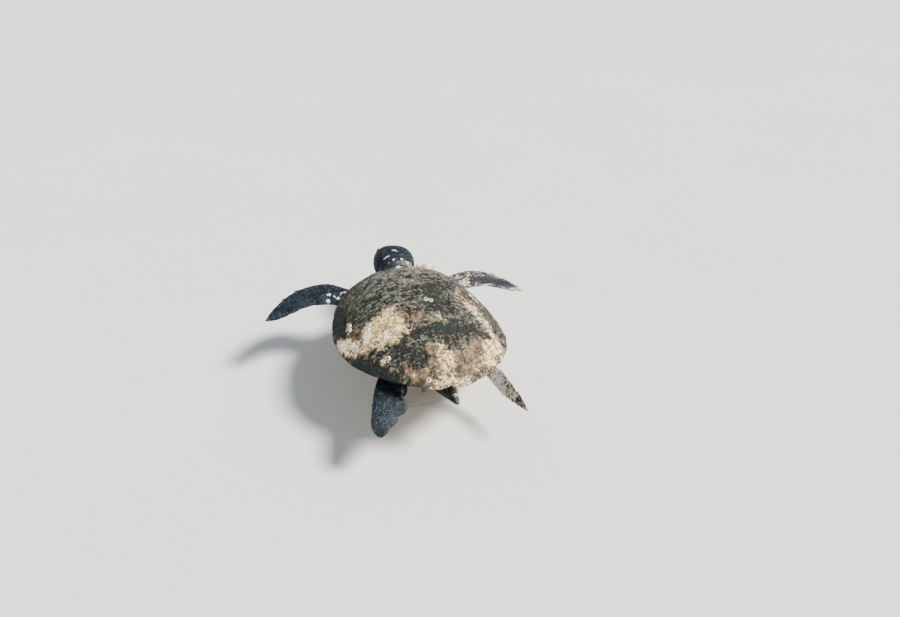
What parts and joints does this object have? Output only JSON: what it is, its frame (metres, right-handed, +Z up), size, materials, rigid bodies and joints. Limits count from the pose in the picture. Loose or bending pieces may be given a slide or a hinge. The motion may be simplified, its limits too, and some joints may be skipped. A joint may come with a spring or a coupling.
{
  "type": "sea turtle display model",
  "caption": "Life-size loggerhead turtle, still, in a banked swimming pose with flippers spread, held over a flat base plate by slim upright rods.",
  "frame": {"origin": "on the underside of the stand's base plate, straight below the middle of the shell", "axes": "+Z up, -Y towards the turtle's head, +Y towards its tail, +X to its left"},
  "size_m": [1.092, 1.112, 0.4369],
  "materials": {
    "skin": "satin, scaled",
    "shell": "matt, weathered horn",
    "belly": "satin horn",
    "horn": "satin horn",
    "eye": "wet gloss",
    "stand_paint": "satin paint",
    "stand_steel": "brushed"
  },
  "bodies": {
    "root": {"beak_lower": "horn", "beak_upper": "horn", "claw_front_left_1": "horn", "claw_front_left_2": "horn", "claw_front_right_1": "horn", "claw_front_right_2": "horn", "claw_hind_left_1": "horn", "claw_hind_left_2": "horn", "claw_hind_right_1": "horn", "claw_hind_right_2": "horn", "costal_left_1": "shell", "costal_left_2": "shell", "costal_left_3": "shell", "costal_left_4": "shell", "costal_left_5": "shell", "costal_right_1": "shell", "costal_right_2": "shell", "costal_right_3": "shell", "costal_right_4": "shell", "costal_right_5": "shell", "eye_left": "eye", "eye_right": "eye", "flipper_front_left": "skin", "flipper_front_right": "skin", "flipper_hind_left": "skin", "flipper_hind_right": "skin", "head": "skin", "marginals_left": "shell", "marginals_right": "shell", "neck": "skin", "nuchal": "shell", "plastron": "belly", "stand_base": "stand_paint", "stand_pad_front": "stand_steel", "stand_pad_rear": "stand_steel", "stand_rod_front": "stand_steel", "stand_rod_rear": "stand_steel", "tail": "skin", "trunk": "skin", "vertebral_1": "shell", "vertebral_2": "shell", "vertebral_3": "shell", "vertebral_4": "shell", "vertebral_5": "shell"}
  },
  "joints": []
}
